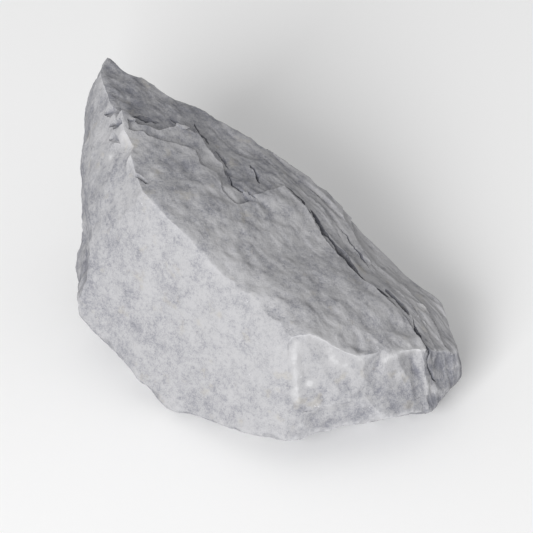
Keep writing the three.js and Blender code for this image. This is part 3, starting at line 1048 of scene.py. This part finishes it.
# the last number on the next line is the painted shade in the hollows
STREAKED, ROUGH_FACE_EXTRA, ON_BRUISES_AND_HIGHLIGHTS, PAINTED_SHADE_IN_HOLLOWS = 1.2, 0.4, 0.8, 0.40
EASTWARD, EAST_MIDDLE = 0.006, 3
# painted shade: how much darker the low east end and the west end of the front are painted
FOOT_PAINTED_SHADE, FRONT_PAINTED_SHADE = 0.36, 0.16
# where each fade starts and ends: in mm, or in shares of the streaks
HOLLOW_DEPTHS = 0.02, 0.30
FOOT_EASTWARD, FOOT_HEIGHTS, FRONT_EASTWARD = (0.0, 9.0), (3.0, 11.0), (-18.0, -5.0)
FRONT_STREAKS, ROUGH_STREAKS = (0.0, 0.1), (0.0, 0.2)

standing, streaks, bruise_and_highlight = written("standing_out"), written("streaks"), written("bruise_and_highlight")
# painted shade: the hollows are painted darker, where less light reaches
hollow_painted_shade = fade(standing * -1.0, *HOLLOW_DEPTHS)
# painted shade at the low east end, as if nearby stones shaded it
foot_painted_shade = fade(east, *FOOT_EASTWARD) * (1 - fade(up, *FOOT_HEIGHTS))
# the front alone gets painted shade towards its west end
on_front = 1 - fade(streaks, *FRONT_STREAKS)
on_rough_face = fade(streaks, *ROUGH_STREAKS)
mottled = (blotches - 0.5) * BLOTCHED + (patches - 0.5) * PATCHY
dust = (
    written("dust") * COAT + COAT_BASE
    + (east - EAST_MIDDLE) * EASTWARD
    + (drift - 0.5) * DRIFTS
    + mottled * (1 + on_rough_face * ROUGH_FACE_EXTRA)
    + (speckle - 0.5) * SPECKLED
    + (grit - 0.5) * GRITTY
    + (lines - 0.5) * streaks * STREAKED
    # bruises, partly painted highlights, add dust
    + bruise_and_highlight * ON_BRUISES_AND_HIGHLIGHTS
    # painted shade in the hollows
    - hollow_painted_shade * PAINTED_SHADE_IN_HOLLOWS
    # painted shade at the low east end
    - foot_painted_shade * FOOT_PAINTED_SHADE
    # painted shade towards the west end of the front, and a little painted light towards its east end
    + (fade(east, *FRONT_EASTWARD) - 0.5) * on_front * FRONT_PAINTED_SHADE
)
print("with the dust it takes", len(stone.node_tree.nodes), "nodes")

# %% Dusty shungite, with painted highlights and glints
DARK_ROCK = (0.179, 0.182, 0.208, 1)
PALE_DUST = (0.396, 0.394, 0.405, 1)
RUST = (0.37, 0.34, 0.28, 1)
# pale rubbed edges, with a painted highlight on them
RUBBED_AND_HIGHLIGHT = (0.50, 0.50, 0.515, 1)
# bruised crests, partly a painted highlight
BRUISED_AND_HIGHLIGHT = (0.56, 0.56, 0.57, 1)
# the pale colour of a shiny grain is a painted glint
PAINTED_GLINT = (0.75, 0.75, 0.78, 1)
MATT, SHINE_OF_A_GLINT, UNEVEN_SHINE = 0.93, 0.5, 0.1
SPECKLE_BUMP, GRIT_BUMP, LINE_BUMP, PATCH_BUMP = 0.06, 0.035, 0.12, 0.06
DULL_REFLECTION = 0.35
# where each of them starts and is complete
FULL_DUST, RUST_STAINS, RUBBED_AND_HIGHLIGHT_HEIGHTS = (0.0, 1.1), (0.60, 0.72), (0.03, 0.17)
FULL_BRUISE_AND_HIGHLIGHT, GLINTING_GRAINS, GLINTING_GRIT = (BRUISE_AND_HIGHLIGHT_SHOWS_FROM, 1.1), (0.93, 0.96), (0.55, 0.7)
BRUISE_AND_HIGHLIGHT_SPECKLED, BRUISE_AND_HIGHLIGHT_PATCHY = 0.9, 1.2
# how much of the colour below each of them covers
RUST_COVERS, RUBBING_AND_HIGHLIGHT_COVERS, BRUISE_AND_HIGHLIGHT_COVERS, PAINTED_GLINT_COVERS = 0.30, 0.8, 0.6, 0.5

rusty = fade(rust, *RUST_STAINS) * RUST_COVERS
# rubbed edges: pale wear, and a painted highlight
rubbed_and_highlight = fade(standing, *RUBBED_AND_HIGHLIGHT_HEIGHTS) * written("rubbing") * RUBBING_AND_HIGHLIGHT_COVERS
# bruises: partly bruised rock, partly a painted highlight on crests and painted glints on single grains
bruised_and_highlit = bruise_and_highlight + (speckle - 0.5) * BRUISE_AND_HIGHLIGHT_SPECKLED + (patches - 0.5) * BRUISE_AND_HIGHLIGHT_PATCHY
bruised_and_highlit = fade(bruised_and_highlit, *FULL_BRUISE_AND_HIGHLIGHT) * BRUISE_AND_HIGHLIGHT_COVERS
# shiny grains: their low roughness is real shine, and their pale colour is a painted glint
shine_and_painted_glint = fade(grains, *GLINTING_GRAINS) * fade(grit, *GLINTING_GRIT)
colour = blend(fade(dust, *FULL_DUST), DARK_ROCK, PALE_DUST)
colour = blend(rusty, colour, RUST)
colour = blend(rubbed_and_highlight, colour, RUBBED_AND_HIGHLIGHT)
colour = blend(bruised_and_highlit, colour, BRUISED_AND_HIGHLIGHT)
colour = blend(shine_and_painted_glint * PAINTED_GLINT_COVERS, colour, PAINTED_GLINT)
roughness = MATT - shine_and_painted_glint * SHINE_OF_A_GLINT - (patches - 0.5) * UNEVEN_SHINE
bumps = speckle * SPECKLE_BUMP + grit * GRIT_BUMP + lines * streaks * LINE_BUMP + patches * PATCH_BUMP
normal = Wire.node("ShaderNodeBump", {}, {"Height": bumps, "Strength": 1.0, "Distance": mm})
for name, value in (("Base Color", colour), ("Roughness", roughness), ("Normal", normal)):
    stone.node_tree.links.new(value.socket, principled.inputs[name])
principled.inputs["Specular IOR Level"].default_value = DULL_REFLECTION
lump.data.materials.append(stone)
print("the finish has", len(stone.node_tree.nodes), "nodes")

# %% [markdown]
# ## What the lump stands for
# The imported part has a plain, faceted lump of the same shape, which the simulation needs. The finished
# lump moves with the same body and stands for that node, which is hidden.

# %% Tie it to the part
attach(lump, "root")
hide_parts("shungite_stone")
print(lump.name, "replaces the packed shungite_stone")

# %% [markdown]
# ## The floor
# The lump lies on a plain pale floor, wide enough to fill every view. It is matt, so it gives the
# underside of the lump a soft light of its own, as the white surface under the real one does.

# %% Lay the floor
FLOOR_SIZE = 4
FLOOR_WHITE = (0.9, 0.9, 0.9, 1)
deselect_all()
bpy.ops.mesh.primitive_plane_add(size=FLOOR_SIZE)
floor = bpy.context.object
floor.name = "floor"
white = bpy.data.materials.new("white_floor")
white.use_nodes = True
white.node_tree.nodes["Principled BSDF"].inputs["Base Color"].default_value = FLOOR_WHITE
white.node_tree.nodes["Principled BSDF"].inputs["Roughness"].default_value = 1.0
floor.data.materials.append(white)
floor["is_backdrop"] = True
print("the floor is", FLOOR_SIZE, "m wide")

# %% [markdown]
# ## Light
# An even white sky lights the lump from all round. One soft lamp, low in front and a little to the
# left, makes the front and the blunt end lighter than the top, and lets small steps and cracks throw
# their shade.

# %% Light the lump
SKY_STRENGTH = 0.54
LAMP_AZIMUTH, LAMP_ELEVATION, LAMP_DISTANCE = -110, 28, 0.7
LAMP_SIZE, LAMP_POWER = 0.35, 4.9
MIDDLE = Vector((3, 1.5, 11)) * mm


def aimed(azimuth, elevation, distance):
    """A place in that direction from the middle of the lump, and the turn that looks back at it."""
    way = normal_of((azimuth, elevation))
    return MIDDLE + way * distance, way.to_track_quat("Z", "Y").to_euler()


sky = bpy.data.worlds.new("soft_sky")
bpy.context.scene.world = sky
sky.use_nodes = True
sky.node_tree.nodes["Background"].inputs["Color"].default_value = (1, 1, 1, 1)
sky.node_tree.nodes["Background"].inputs["Strength"].default_value = SKY_STRENGTH
lamp_place, lamp_turn = aimed(LAMP_AZIMUTH, LAMP_ELEVATION, LAMP_DISTANCE)
bpy.ops.object.light_add(type="AREA", location=lamp_place, rotation=lamp_turn)
lamp = bpy.context.object
lamp.data.energy = LAMP_POWER
lamp.data.size = LAMP_SIZE
print("the lamp is at", [round(value, 2) for value in lamp.location], "m")

# %% [markdown]
# ## Camera
# The camera looks down at the lump from in front, at 42 degrees. It stands fairly far off with a long
# lens, so that the lump's edges keep their directions as they do in a view of a whole heap. The
# Standard view keeps the greys as they are.

# %% Place the camera
CAMERA_AZIMUTH, CAMERA_ELEVATION, CAMERA_DISTANCE = -90, 42, 0.45
LENS, SENSOR_WIDTH, CLIP_START = 300, 36, 0.01
camera_data = bpy.data.cameras.new("camera")
camera = bpy.data.objects.new("camera", camera_data)
bpy.context.scene.collection.objects.link(camera)
camera.location, camera.rotation_euler = aimed(CAMERA_AZIMUTH, CAMERA_ELEVATION, CAMERA_DISTANCE)
camera_data.sensor_width, camera_data.lens, camera_data.clip_start = SENSOR_WIDTH, LENS, CLIP_START
bpy.context.scene.camera = camera
bpy.context.scene.view_settings.view_transform = "Standard"
print("the view is", round(SENSOR_WIDTH / LENS * CAMERA_DISTANCE / mm, 1), "mm wide")

# %% [markdown]
# ## The size, before and after
# The finished lump is made to fill the box of the imported part, and both boxes are printed. The finished
# lump has to fill the box of the imported part to within a fraction of a millimetre.

# %% Record the boxes
new_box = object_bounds()
print("the packed lump lies between", *in_mm(cad_box), "mm")
print("the finished lump lies between", *in_mm(new_box), "mm")
